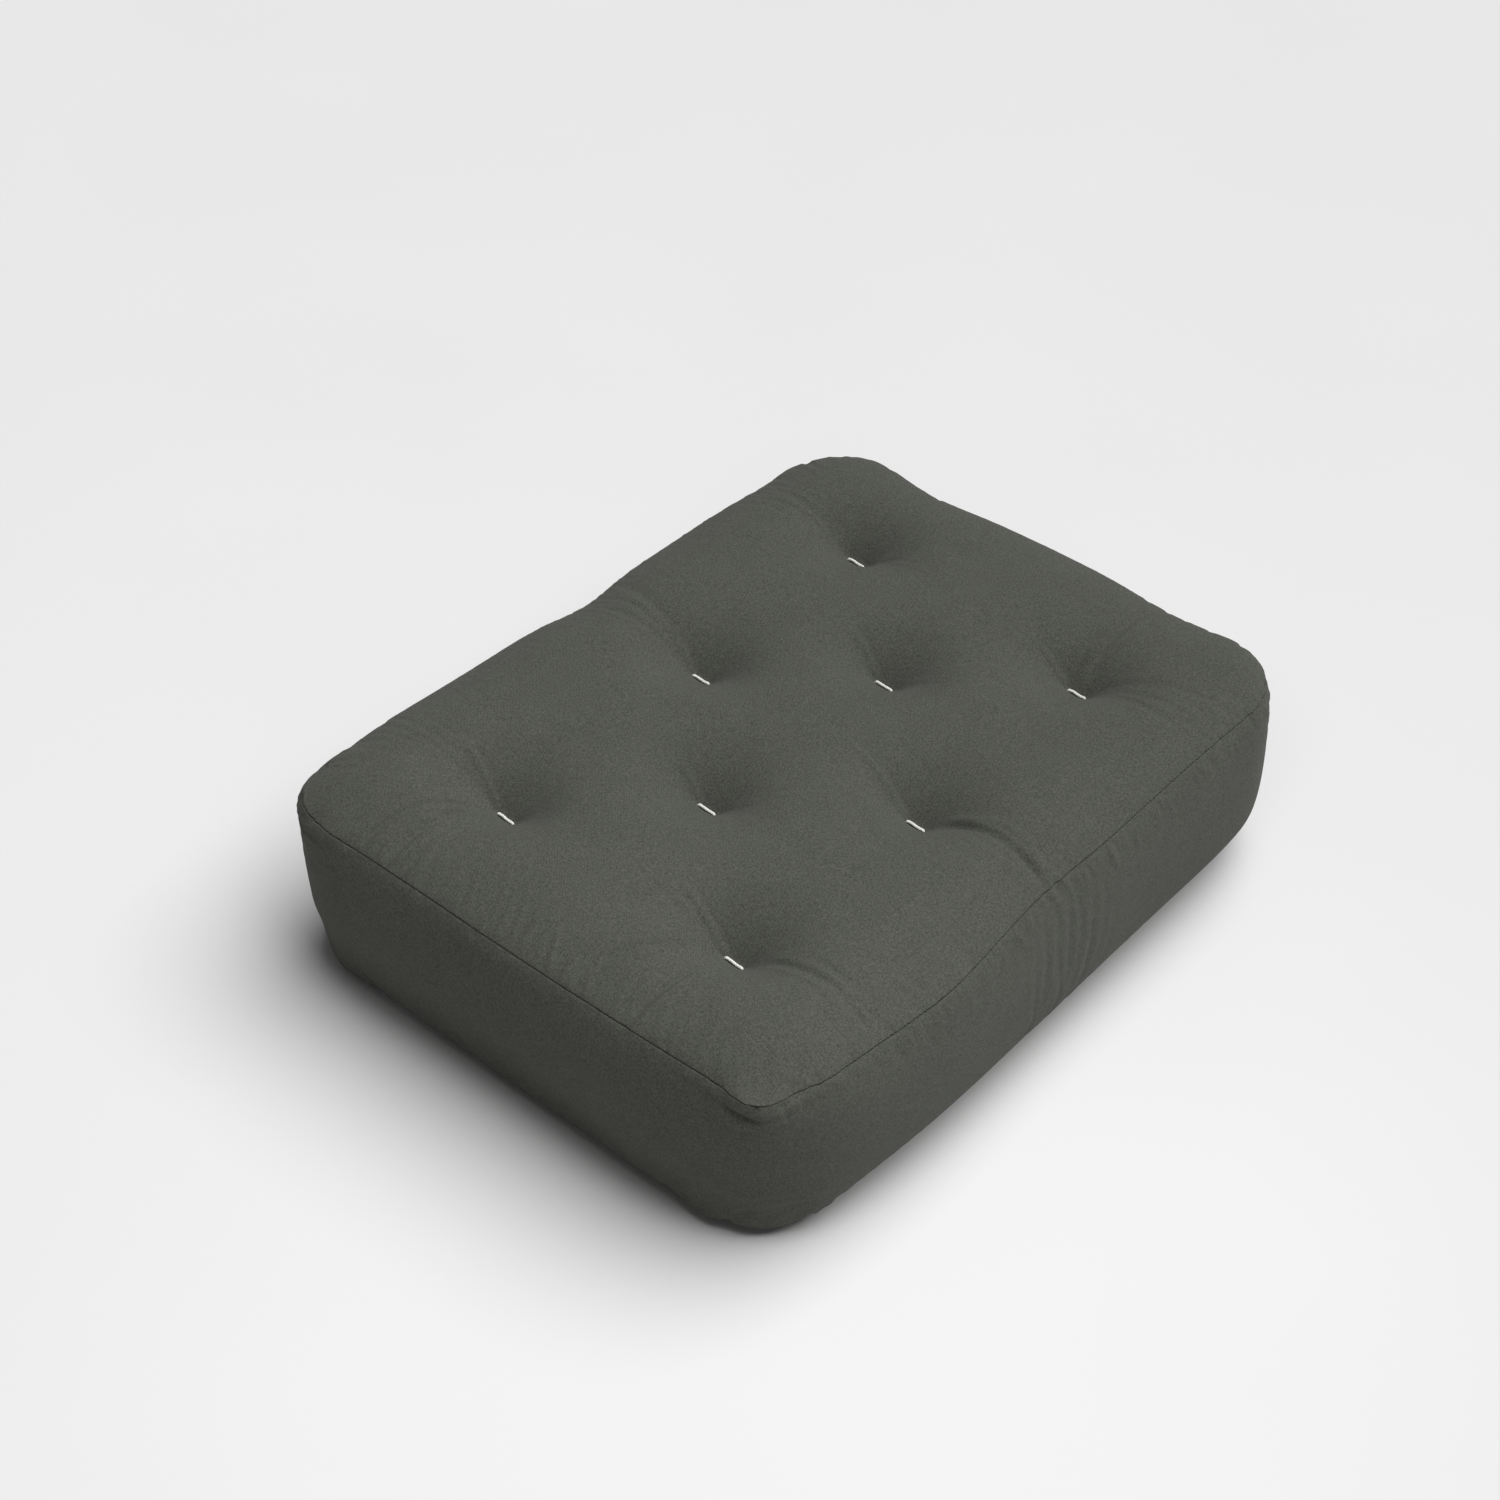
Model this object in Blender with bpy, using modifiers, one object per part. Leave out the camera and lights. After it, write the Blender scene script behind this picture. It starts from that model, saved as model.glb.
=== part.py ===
"""Ottoman-size futon mattress: a boxed cloth cover over cotton batting and foam, tufted right through.

Frame: +Z up, X across the width, Y along the length, metres. The origin is the centre of the face it
rests on. Every piece is a separate closed solid, and touching pieces keep a gap of 0.3 mm.
"""
import math

import bmesh
import bpy
from mathutils import Vector
from mathutils.geometry import delaunay_2d_cdt

# Driving dimensions
SEAM_WIDTH = 0.540            # across X, seam to seam
SEAM_LENGTH = 0.711           # along Y, seam to seam
CORNER_RADIUS = 0.079         # both seams, in plan
TOP_SEAM_Z = 0.166
BOTTOM_SEAM_Z = 0.012
TOP_CROWN = 0.022             # the top panel's rise above its seam
TOP_CROWN_WIDTH = 0.060       # how far in from the seam it is reached
BOTTOM_CROWN_WIDTH = 0.036    # how far in the bottom panel meets the floor
BORDER_BULGE = 0.015          # the border's swell at half height
BOTTOM_SEAM_INSET = 0.008     # how much smaller the bottom seam is all round
CLOTH = 0.0012                # cloth thickness
GAP = 0.0003                  # between touching pieces
SEAM_ALLOWANCE = 0.008        # the border's turned-in edges

# Tufts: each twine goes down and up again through two needle holes
TUFT_COLUMN = 0.1263           # from the centre line to an outer column
TUFT_ROW = 0.1148              # from row to row
TUFTS = (                     # column, row, and the hand's small errors along X and Y
    (-1, -2, 0.004, -0.002),
    (1, -2, -0.002, -0.003),
    (0, -1, -0.009, 0.003),
    (-1, 0, 0.002, 0.013),
    (1, 0, 0.004, -0.011),
    (0, 1, -0.002, 0.000),
    (-1, 2, -0.006, 0.009),
    (1, 2, 0.002, -0.009),
)
STITCH = 0.0185                # between a tuft's two needle holes
PAD_RADIUS = 0.0125            # the flat bottom of a dimple
DIMPLE_RADIUS = 0.043
TUFT_TOP_Z = 0.151
TUFT_BOTTOM_Z = 0.0155
TWINE_RADIUS = 0.0010
TWINE_BEND = 0.0013           # the twine's turn at each needle hole
NEEDLE_HOLE_RADIUS = 0.0020
KNOT_SIZE = (0.0035, 0.0029, 0.0020)
KNOT_DROP = 0.0026            # the knot's centre below the dimple
TAIL_LENGTH = 0.019           # both ends of the twine past the knot
TAIL_RADIUS = 0.0008
TAIL_DROOP = 0.0006
TAIL_SLANT = 0.0011

# Layers: level 0 is the bottom panel's inner face and level 8 is the top panel's
LAYERS = (
    ("lower_batting_1", "cotton_batting"),
    ("lower_batting_2", "cotton_batting"),
    ("foam_core_lower", "foam"),
    ("foam_core_middle", "foam"),
    ("foam_core_upper", "foam"),
    ("upper_batting_1", "cotton_batting"),
    ("upper_batting_2", "cotton_batting"),
    ("upper_batting_3", "cotton_batting"),
)
FIRST_FLAT_LEVEL = 2
LAST_FLAT_LEVEL = 6
FIRST_FLAT_Z = 0.042
LAYER_HEIGHT = 0.0215

SEAM_THREAD_RADIUS = 0.0005
SEAM_THREAD_INSET = 0.0040
CLOSING_THREAD_RADIUS = 0.0003
CLOSING_SLIT = 0.0012         # between the border's two ends, at the middle of the back

# Facets
CORNER_STEPS = 5
SHORT_SIDE_STEPS = 4
LONG_SIDE_STEPS = 4
PAD_SIDES = 6
DIMPLE_SIDES = 7

COLOURS = {                   # base colour and roughness
    "cover_cloth": ((0.082, 0.085, 0.077, 1.0), 0.95),
    "tuft_twine": ((0.80, 0.78, 0.72, 1.0), 0.85),
    "seam_thread": ((0.050, 0.052, 0.048, 1.0), 0.80),
    "cotton_batting": ((0.72, 0.69, 0.61, 1.0), 1.0),
    "foam": ((0.78, 0.72, 0.50, 1.0), 0.95),
}


# ---------------------------------------------------------------- scene and materials
def clear_scene():
    for item in list(bpy.data.objects):
        bpy.data.objects.remove(item, do_unlink=True)


def make_collection(name):
    collection = bpy.data.collections.new(name)
    bpy.context.scene.collection.children.link(collection)
    return collection


def make_material(name):
    colour, roughness = COLOURS[name]
    material = bpy.data.materials.new(name)
    material.use_nodes = True
    shader = material.node_tree.nodes["Principled BSDF"]
    shader.inputs["Base Color"].default_value = colour
    shader.inputs["Roughness"].default_value = roughness
    shader.inputs["Metallic"].default_value = 0.0
    material.diffuse_color = colour
    return material


def add_object(name, mesh, collection, material=None):
    item = bpy.data.objects.new(name, mesh)
    collection.objects.link(item)
    if material is not None:
        mesh.materials.append(material)
    return item


def add_boolean(item, tool, operation):
    modifier = item.modifiers.new(operation.lower(), "BOOLEAN")
    modifier.operation = operation
    modifier.solver = "EXACT"
    modifier.object = tool


def hide_tool(item):
    item.hide_render = True
    item.display_type = "WIRE"


def evaluated_mesh(item, name):
    """A plain mesh of what the object's curve and modifiers make."""
    graph = bpy.context.evaluated_depsgraph_get()
    mesh = bpy.data.meshes.new_from_object(item.evaluated_get(graph))
    mesh.name = name
    return mesh


def finish_bmesh(bm, name):
    bmesh.ops.recalc_face_normals(bm, faces=bm.faces)
    mesh = bpy.data.meshes.new(name)
    bm.to_mesh(mesh)
    bm.free()
    mesh.shade_smooth()
    mesh.set_sharp_from_angle(angle=math.radians(40))
    return mesh


# ---------------------------------------------------------------- shape functions
def outline(offset):
    """The seam's rounded rectangle, grown by offset; anticlockwise from the middle of the back."""
    radius = CORNER_RADIUS + offset
    flat_x = SEAM_WIDTH / 2 - CORNER_RADIUS
    flat_y = SEAM_LENGTH / 2 - CORNER_RADIUS
    points = []
    for turn, (sx, sy) in enumerate(((1, 1), (-1, 1), (-1, -1), (1, -1))):
        for step in range(CORNER_STEPS + 1):
            angle = math.pi / 2 * (turn + step / CORNER_STEPS)
            arc = Vector((math.cos(angle), math.sin(angle))) * radius
            points.append(Vector((sx * flat_x, sy * flat_y)) + arc)
        steps = LONG_SIDE_STEPS if turn % 2 else SHORT_SIDE_STEPS
        run = Vector((-2 * flat_x, 0.0)) if turn == 0 else Vector((0.0, -2 * flat_y))
        if turn > 1:
            run = Vector((2 * flat_x, 0.0)) if turn == 2 else Vector((0.0, 2 * flat_y))
        corner_end = points[-1]
        for step in range(1, steps):
            points.append(corner_end + run * (step / steps))
    start = CORNER_STEPS + SHORT_SIDE_STEPS // 2
    return points[start:] + points[:start]


def depth_inside(x, y):
    """Distance in from the seam outline."""
    out_x = abs(x) - (SEAM_WIDTH / 2 - CORNER_RADIUS)
    out_y = abs(y) - (SEAM_LENGTH / 2 - CORNER_RADIUS)
    corner = math.hypot(max(out_x, 0.0), max(out_y, 0.0))
    return CORNER_RADIUS - corner - min(max(out_x, out_y), 0.0)


def crown(x, y, width):
    """0 at the seam, rising to 1 at width inside it."""
    reach = min(1.0, max(0.0, depth_inside(x, y) / width))
    return 1.0 - (1.0 - reach) ** 2


def tuft_centres():
    return [Vector((column * TUFT_COLUMN + dx, row * TUFT_ROW + dy)) for column, row, dx, dy in TUFTS]


def dimple(x, y):
    """1 on a tuft's pad, falling to 0 at its dimple's rim."""
    distance = min((Vector((x, y)) - centre).length for centre in tuft_centres())
    reach = min(1.0, max(0.0, (distance - PAD_RADIUS) / (DIMPLE_RADIUS - PAD_RADIUS)))
    return (1.0 - reach ** 2) ** 2


def top_surface(x, y):
    free = TOP_SEAM_Z + TOP_CROWN * crown(x, y, TOP_CROWN_WIDTH)
    return free + (TUFT_TOP_Z - free) * dimple(x, y)


def bottom_surface(x, y):
    free = BOTTOM_SEAM_Z * (1.0 - crown(x, y, BOTTOM_CROWN_WIDTH))
    return free + (TUFT_BOTTOM_Z - free) * dimple(x, y)


def level_z(level, x, y):
    """Height of the face between two layers; the levels in the middle are flat."""
    if level == 0:
        return bottom_surface(x, y) + CLOTH + GAP
    if level == len(LAYERS):
        return top_surface(x, y) - CLOTH - GAP
    if level < FIRST_FLAT_LEVEL:
        return (level_z(level - 1, x, y) + level_z(level + 1, x, y)) / 2
    if level > LAST_FLAT_LEVEL:
        return (level_z(LAST_FLAT_LEVEL, x, y) + level_z(len(LAYERS), x, y)) / 2
    return FIRST_FLAT_Z + (level - FIRST_FLAT_LEVEL) * LAYER_HEIGHT


def border_offset(z):
    """How far the border's outer face stands out from the seam outline."""
    reach = min(1.0, max(0.0, (z - BOTTOM_SEAM_Z) / (TOP_SEAM_Z - BOTTOM_SEAM_Z)))
    return BORDER_BULGE * math.sin(math.pi * reach) - BOTTOM_SEAM_INSET * (1.0 - reach) ** 2


def edge_z(level):
    edge = outline(0.0)[0]
    return level_z(level, edge.x, edge.y)


def level_offset(level):
    """The layers fill the border, and clear its turned-in edges at both seams."""
    offset = border_offset(edge_z(level)) - CLOTH - GAP
    if level in (0, len(LAYERS)):
        offset -= SEAM_ALLOWANCE + CLOTH
    return offset


# ---------------------------------------------------------------- cloth and filling
def plan_mesh(with_dimples):
    """Triangles over the seam outline, with rings of points round the tufts where it dimples."""
    rim = outline(0.0)
    points = list(rim)
    if with_dimples:
        points += outline(-BOTTOM_CROWN_WIDTH)
        for centre in tuft_centres():
            for radius, sides in ((PAD_RADIUS, PAD_SIDES), (DIMPLE_RADIUS, DIMPLE_SIDES)):
                for side in range(sides):
                    angle = 2 * math.pi * side / sides
                    points.append(centre + radius * Vector((math.cos(angle), math.sin(angle))))
        for column, row in ((0, 0), (0, -2), (0, 2), (-1, -1), (1, -1), (-1, 1), (1, 1)):
            points.append(Vector((column * TUFT_COLUMN, row * TUFT_ROW)))
    edges = [(index, (index + 1) % len(rim)) for index in range(len(rim))]
    flat_points, _, faces, _, _, _ = delaunay_2d_cdt(points, edges, [], 1, 1e-7)
    return flat_points, faces, len(rim)


def slab(name, lower, upper, lower_offset, upper_offset, with_dimples):
    """A loft between two height functions over the same plan, with its own outline at each level."""
    points, faces, rim_count = plan_mesh(with_dimples)
    bm = bmesh.new()
    levels = []
    for height, offset in ((lower, lower_offset), (upper, upper_offset)):
        rim = outline(offset)
        verts = []
        for index, point in enumerate(points):
            place = rim[index] if index < rim_count else point
            verts.append(bm.verts.new((place.x, place.y, height(point.x, point.y))))
        levels.append(verts)
    for face in faces:
        bm.faces.new([levels[0][index] for index in reversed(face)])
        bm.faces.new([levels[1][index] for index in face])
    for index in range(rim_count):
        after = (index + 1) % rim_count
        bm.faces.new((levels[0][index], levels[0][after], levels[1][after], levels[1][index]))
    return finish_bmesh(bm, name)


def make_panel(name, surface, inner_side, collection, material, holes):
    """A cloth panel: its outer face is the surface, and inner_side is +1 where the filling is above it."""
    def inner(x, y):
        return surface(x, y) + inner_side * CLOTH

    offset = 0.0 if inner_side < 0 else -BOTTOM_SEAM_INSET
    lower, upper = (inner, surface) if inner_side < 0 else (surface, inner)
    panel = add_object(name, slab(name, lower, upper, offset, offset, True), collection, material)
    add_boolean(panel, holes, "DIFFERENCE")
    return panel


def make_layer(level, collection, material, holes):
    name = LAYERS[level][0]
    below_flat = level + 1 <= FIRST_FLAT_LEVEL
    above_flat = level >= LAST_FLAT_LEVEL
    half_gap = GAP / 2

    def lower(x, y):
        return level_z(level, x, y) + (half_gap if level > 0 else 0.0)

    def upper(x, y):
        return level_z(level + 1, x, y) - (half_gap if level + 1 < len(LAYERS) else 0.0)

    mesh = slab(name, lower, upper, level_offset(level), level_offset(level + 1), below_flat or above_flat)
    layer = add_object(name, mesh, collection, material)
    add_boolean(layer, holes, "DIFFERENCE")
    return layer


def make_border(collection, material):
    """One strip round all four sides, its long edges turned in under the panels, open at the back."""
    inner = -SEAM_ALLOWANCE
    top_edge = TOP_SEAM_Z - CLOTH - GAP
    bottom_edge = BOTTOM_SEAM_Z + CLOTH + GAP
    profile = [(inner - BOTTOM_SEAM_INSET, bottom_edge), (-BOTTOM_SEAM_INSET, bottom_edge)]
    profile += [(border_offset(edge_z(level)), edge_z(level)) for level in range(1, len(LAYERS))]
    profile += [(0.0, top_edge), (inner, top_edge)]
    bm = bmesh.new()
    rings = []
    for offset, z in profile:
        ring = outline(offset)
        ring.append(ring[0].copy())
        ring[0].x -= CLOSING_SLIT / 2
        ring[-1].x += CLOSING_SLIT / 2
        rings.append([bm.verts.new((point.x, point.y, z)) for point in ring])
    for low, high in zip(rings, rings[1:]):
        for index in range(len(low) - 1):
            bm.faces.new((low[index], low[index + 1], high[index + 1], high[index]))
    mesh = bpy.data.meshes.new("cover_border")
    bm.to_mesh(mesh)
    bm.free()
    mesh.shade_smooth()
    border = add_object("cover_border", mesh, collection, material)
    shell = border.modifiers.new("cloth", "SOLIDIFY")
    shell.thickness = CLOTH
    shell.offset = -1.0
    shell.use_even_offset = True
    return border


# ---------------------------------------------------------------- thread and twine
def tube_curve(name, points, radius, cyclic, bevel_resolution):
    curve = bpy.data.curves.new(name, "CURVE")
    curve.dimensions = "3D"
    curve.bevel_depth = radius
    curve.bevel_resolution = bevel_resolution
    curve.use_fill_caps = not cyclic
    spline = curve.splines.new("POLY")
    spline.points.add(len(points) - 1)
    for spot, point in zip(spline.points, points):
        spot.co = (*point, 1.0)
    spline.use_cyclic_u = cyclic
    return curve


def make_seam_thread(name, z, offset, collection, material):
    """The lockstitch thread of one seam, a closed ring against the seam allowance."""
    points = [(point.x, point.y, z) for point in outline(offset)]
    curve = tube_curve(name, points, SEAM_THREAD_RADIUS, True, 1)
    return add_object(name, curve, collection, material)


def make_closing_thread(collection, material):
    """The thread that closes the border's one upright join."""
    back = outline(0.0)[0]
    points = []
    for level in range(1, len(LAYERS)):
        z = edge_z(level)
        points.append((0.0, back.y + border_offset(z) - CLOTH / 2, z))
    curve = tube_curve("closing_seam_thread", points, CLOSING_THREAD_RADIUS, False, 1)
    return add_object("closing_seam_thread", curve, collection, material)


def make_needle_holes(collection):
    """One tool that cuts every tuft's two needle holes."""
    bm = bmesh.new()
    for centre in tuft_centres():
        for side in (-1, 1):
            made = bmesh.ops.create_cone(
                bm, cap_ends=True, segments=6, radius1=NEEDLE_HOLE_RADIUS, radius2=NEEDLE_HOLE_RADIUS,
                depth=2 * TOP_SEAM_Z)
            shift = Vector((centre.x + side * STITCH / 2, centre.y, TOP_SEAM_Z / 2))
            bmesh.ops.translate(bm, vec=shift, verts=made["verts"])
    holes = add_object("needle_holes", finish_bmesh(bm, "needle_holes"), collection)
    hide_tool(holes)
    return holes


def twine_path():
    """A rounded rectangle through both needle holes, with its long sides the twine's two legs."""
    half = STITCH / 2
    top = TUFT_TOP_Z + GAP + TWINE_RADIUS
    bottom = TUFT_BOTTOM_Z - GAP - TWINE_RADIUS
    points = []
    for turn, (x, z) in enumerate(((half, top), (-half, top), (-half, bottom), (half, bottom))):
        inward_x = math.copysign(TWINE_BEND, -x)
        inward_z = -TWINE_BEND if z == top else TWINE_BEND
        centre = Vector((x + inward_x, 0.0, z + inward_z))
        for step in range(4):
            angle = math.pi / 2 * (turn + step / 3)
            points.append(centre + TWINE_BEND * Vector((math.cos(angle), 0.0, math.sin(angle))))
    return points


def make_twine_mesh(tools, material):
    """A tufting twine: the loop, its knot underneath and its two short tails, joined into one body."""
    loop = add_object("twine_loop", tube_curve("twine_loop", twine_path(), TWINE_RADIUS, True, 2), tools)
    mesh = evaluated_mesh(loop, "tuft_twine")
    bpy.data.objects.remove(loop, do_unlink=True)
    twine = add_object("twine_union", mesh, tools)
    knot_z = TUFT_BOTTOM_Z - GAP - KNOT_DROP

    bm = bmesh.new()
    bmesh.ops.create_uvsphere(bm, u_segments=8, v_segments=6, radius=1.0)
    bmesh.ops.scale(bm, vec=Vector(KNOT_SIZE), verts=bm.verts)
    bmesh.ops.translate(bm, vec=Vector((0.0, 0.0, knot_z)), verts=bm.verts)
    knot = add_object("twine_knot", finish_bmesh(bm, "twine_knot"), tools)

    tail_points = []
    for share in (-1.0, -0.5, 0.0, 0.5, 1.0):
        tail_points.append((TAIL_SLANT * share, TAIL_LENGTH / 2 * share, knot_z - TAIL_DROOP * share ** 2))
    tails = add_object("twine_tails", tube_curve("twine_tails", tail_points, TAIL_RADIUS, False, 1), tools)
    bm = bmesh.new()
    bm.from_mesh(evaluated_mesh(tails, "twine_tails"))
    bmesh.ops.remove_doubles(bm, verts=bm.verts, dist=0.00001)
    bpy.data.objects.remove(tails, do_unlink=True)
    tails = add_object("twine_tails", finish_bmesh(bm, "twine_tails"), tools)

    for tool in (knot, tails):
        hide_tool(tool)
        add_boolean(twine, tool, "UNION")
    joined = evaluated_mesh(twine, "tuft_twine")
    bpy.data.objects.remove(twine, do_unlink=True)
    joined.materials.clear()
    joined.materials.append(material)
    joined.shade_smooth()
    joined.set_sharp_from_angle(angle=math.radians(50))
    return joined


def make_twines(collection, tools, material):
    mesh = make_twine_mesh(tools, material)
    for number, centre in enumerate(tuft_centres(), start=1):
        twine = add_object(f"tuft_twine_{number}", mesh, collection)
        twine.location = (centre.x, centre.y, 0.0)


# ---------------------------------------------------------------- the mattress
def main():
    clear_scene()
    parts = make_collection("futon_mattress")
    tools = make_collection("cutters")
    materials = {name: make_material(name) for name in COLOURS}
    holes = make_needle_holes(tools)

    make_panel("cover_top_panel", top_surface, -1, parts, materials["cover_cloth"], holes)
    make_panel("cover_bottom_panel", bottom_surface, 1, parts, materials["cover_cloth"], holes)
    make_border(parts, materials["cover_cloth"])
    for level, (_, material) in enumerate(LAYERS):
        make_layer(level, parts, materials[material], holes)

    drop = CLOTH * 2 + GAP * 2 + SEAM_THREAD_RADIUS
    thread = materials["seam_thread"]
    make_seam_thread("top_seam_thread", TOP_SEAM_Z - drop, -SEAM_THREAD_INSET, parts, thread)
    bottom_offset = -SEAM_THREAD_INSET - BOTTOM_SEAM_INSET
    make_seam_thread("bottom_seam_thread", BOTTOM_SEAM_Z + drop, bottom_offset, parts, thread)
    make_closing_thread(parts, thread)
    make_twines(parts, tools, materials["tuft_twine"])


main()
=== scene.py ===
"""Looks of the tufted futon mattress: its cloth, twine, thread and filling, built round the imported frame.

The cover is cut as flat panels a little larger than the mattress, sewn into one closed cloth and let down
onto the filling's shape by a cloth simulation, with the eight tufts pulled in. Its creases are then pressed
in along the lines where the twine pulls the cloth. Everything is in metres, in the frame's own axes.
"""
import math

import bmesh
import bpy
import numpy as np
from mathutils import Matrix, Vector
from mathutils.bvhtree import BVHTree
from mathutils.geometry import delaunay_2d_cdt
from mathutils.kdtree import KDTree


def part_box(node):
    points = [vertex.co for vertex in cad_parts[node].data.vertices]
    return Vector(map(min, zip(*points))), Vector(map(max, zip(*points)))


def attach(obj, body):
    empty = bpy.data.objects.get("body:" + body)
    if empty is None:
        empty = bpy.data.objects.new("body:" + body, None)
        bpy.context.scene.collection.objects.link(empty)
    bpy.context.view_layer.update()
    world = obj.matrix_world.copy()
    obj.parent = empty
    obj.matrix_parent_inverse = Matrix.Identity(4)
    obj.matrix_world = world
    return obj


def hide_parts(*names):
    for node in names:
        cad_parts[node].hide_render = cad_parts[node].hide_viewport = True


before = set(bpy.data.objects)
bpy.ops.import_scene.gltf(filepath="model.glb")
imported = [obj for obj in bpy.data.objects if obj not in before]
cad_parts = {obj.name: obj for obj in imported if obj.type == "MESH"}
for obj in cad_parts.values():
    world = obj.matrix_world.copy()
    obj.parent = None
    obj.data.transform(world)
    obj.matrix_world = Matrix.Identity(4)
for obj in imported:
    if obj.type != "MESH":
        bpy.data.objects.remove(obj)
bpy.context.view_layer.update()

# ---- sizes, from the frame
PANEL_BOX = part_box("cover_top_panel")
BORDER_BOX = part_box("cover_border")
BOTTOM_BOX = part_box("cover_bottom_panel")
HALF_W = (PANEL_BOX[1][0] - PANEL_BOX[0][0]) / 2
HALF_L = (PANEL_BOX[1][1] - PANEL_BOX[0][1]) / 2
TOP_Z = PANEL_BOX[1][2]
SEAM_PAST_BORDER = 0.0014     # the seams lie this far past the border's edges
SEAM_Z = BORDER_BOX[1][2] + SEAM_PAST_BORDER
BOTTOM_SEAM_Z = BORDER_BOX[0][2] - SEAM_PAST_BORDER
BULGE = (BORDER_BOX[1][0] - BORDER_BOX[0][0]) / 2 - HALF_W + 0.003
BOTTOM_INSET = HALF_W - (BOTTOM_BOX[1][0] - BOTTOM_BOX[0][0]) / 2
CORNER_R = 0.079
TUFT_COUNT = 8
STITCH = 0.0185               # length of a tuft's visible stitch


def tuft_places():
    """Each tuft's centre in plan, and the heights of its two ends, from the CAD twines."""
    places = []
    for number in range(1, TUFT_COUNT + 1):
        low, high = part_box(f"tuft_twine_{number}")
        places.append(((low[0] + high[0]) / 2, (low[1] + high[1]) / 2, low[2], high[2]))
    return np.array(places)


TUFTS = tuft_places()
TUFT_XY = TUFTS[:, :2]
TUFT_TOP_Z = TUFTS[0, 3] - 0.0047     # rounding lifts the cloth here again
TUFT_BOTTOM_Z = 0.0155        # how high the underside is drawn up at a tuft

# ---- cloth settings
CELL = STITCH / 4             # the cloth grid: four cells to a stitch
CUT_EXTRA = 1.014             # the panels are cut this much larger than they finish
BORDER_CUT = 0.160            # height of the cut border strip
BORDER_ROWS = 33              # rows of cells down the border, few enough for a mesh under 200,000 faces
GOAL = 0.45                   # how firmly the filling holds the cloth
TOP_GOAL = 0.60               # the same for the top panel
FRAMES = 16                   # frames simulated
FILLED_FRAME = 9              # the frame at which the filling reaches its full shape
CROWN_WIDTH = 0.070           # how far in from the seam the top reaches its full height
CROWN_SHAPE = 1.8
FLOOR_MARGIN = 0.036          # how far in from the bottom seam the underside touches the floor
DIMPLE_REACH = 0.018          # how wide a tuft's pull spreads over the top
DIMPLE_SHAPE = 1.35
LOW_DIMPLE_REACH = 0.021      # the same over the underside


# ---- plan geometry
def unit(vectors):
    return vectors / np.linalg.norm(vectors, axis=1)[:, None]


def outline(half_w, half_l, radius, count):
    """count points evenly round a rounded rectangle, anticlockwise from the middle of the back."""
    flat_x = half_w - radius
    flat_y = half_l - radius
    quarter = math.pi / 2 * radius
    runs = (
        (flat_x, (0, half_l), (-1, 0), None),
        (quarter, (-flat_x, flat_y), None, 90),
        (2 * flat_y, (-half_w, flat_y), (0, -1), None),
        (quarter, (-flat_x, -flat_y), None, 180),
        (2 * flat_x, (-flat_x, -half_l), (1, 0), None),
        (quarter, (flat_x, -flat_y), None, 270),
        (2 * flat_y, (half_w, -flat_y), (0, 1), None),
        (quarter, (flat_x, flat_y), None, 0),
        (flat_x, (flat_x, half_l), (-1, 0), None),
    )
    total = sum(run[0] for run in runs)
    points = []
    for index in range(count):
        along = total * index / count
        for length, start, direction, angle in runs:
            if along <= length:
                break
            along -= length
        if angle is None:
            points.append((start[0] + direction[0] * along, start[1] + direction[1] * along))
        else:
            turn = math.radians(angle) + along / radius
            points.append((start[0] + radius * math.cos(turn), start[1] + radius * math.sin(turn)))
    return np.array(points)


def depth_inside(xy, half_w=HALF_W, half_l=HALF_L, radius=CORNER_R):
    """Distance in from the rounded rectangle, negative outside it."""
    out = np.abs(xy) - np.array([half_w - radius, half_l - radius])
    corner = np.hypot(np.maximum(out[:, 0], 0), np.maximum(out[:, 1], 0))
    return radius - corner - np.minimum(out.max(axis=1), 0)


RING_STEP = 0.0015
RING_LENGTH = 4 * (HALF_W + HALF_L - 2 * CORNER_R) + 2 * math.pi * CORNER_R
RING = outline(HALF_W, HALF_L, CORNER_R, round(RING_LENGTH / RING_STEP))
RING_ALONG = unit(np.roll(RING, -1, axis=0) - np.roll(RING, 1, axis=0))
RING_OUT = np.column_stack([RING_ALONG[:, 1], -RING_ALONG[:, 0]])
RING_TREE = KDTree(len(RING))
for ring_index, ring_point in enumerate(RING):
    RING_TREE.insert((ring_point[0], ring_point[1], 0), ring_index)
RING_TREE.balance()


def round_place(xy):
    """Each point's distance round the seam line, anticlockwise from mid-back, and the way out."""
    nearest = np.array([RING_TREE.find((x, y, 0))[1] for x, y in xy])
    past = ((xy - RING[nearest]) * RING_ALONG[nearest]).sum(axis=1)
    return (nearest * RING_LENGTH / len(RING) + past) % RING_LENGTH, RING_OUT[nearest]


def ring_outward(ring):
    """The direction out of a closed ring of points that goes anticlockwise."""
    along = np.roll(ring, -1, axis=0) - np.roll(ring, 1, axis=0)
    return unit(np.column_stack([along[:, 1], -along[:, 0]]))


def place_of(x, y):
    """Distance round the seam line of one plan point."""
    return float(round_place(np.array([[x, y]]))[0][0])


CORNER_CUT = CORNER_R * 0.3   # about how far a corner's point stands in from both sides
FRONT = place_of(0, -HALF_L)
RIGHT = place_of(HALF_W, 0)
FRONT_CORNER = place_of(HALF_W - CORNER_CUT, -HALF_L + CORNER_CUT) - 0.012
LEFT_CORNER = place_of(-HALF_W + CORNER_CUT, -HALF_L + CORNER_CUT)
RIGHT_CORNER = place_of(HALF_W - CORNER_CUT, HALF_L - CORNER_CUT)
BACK_CORNER = place_of(-HALF_W + CORNER_CUT, HALF_L - CORNER_CUT)


def round_gap(place, site):
    """Signed distance round the seam line from a site to a place, the shorter way."""
    return (place - site + RING_LENGTH / 2) % RING_LENGTH - RING_LENGTH / 2


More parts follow.
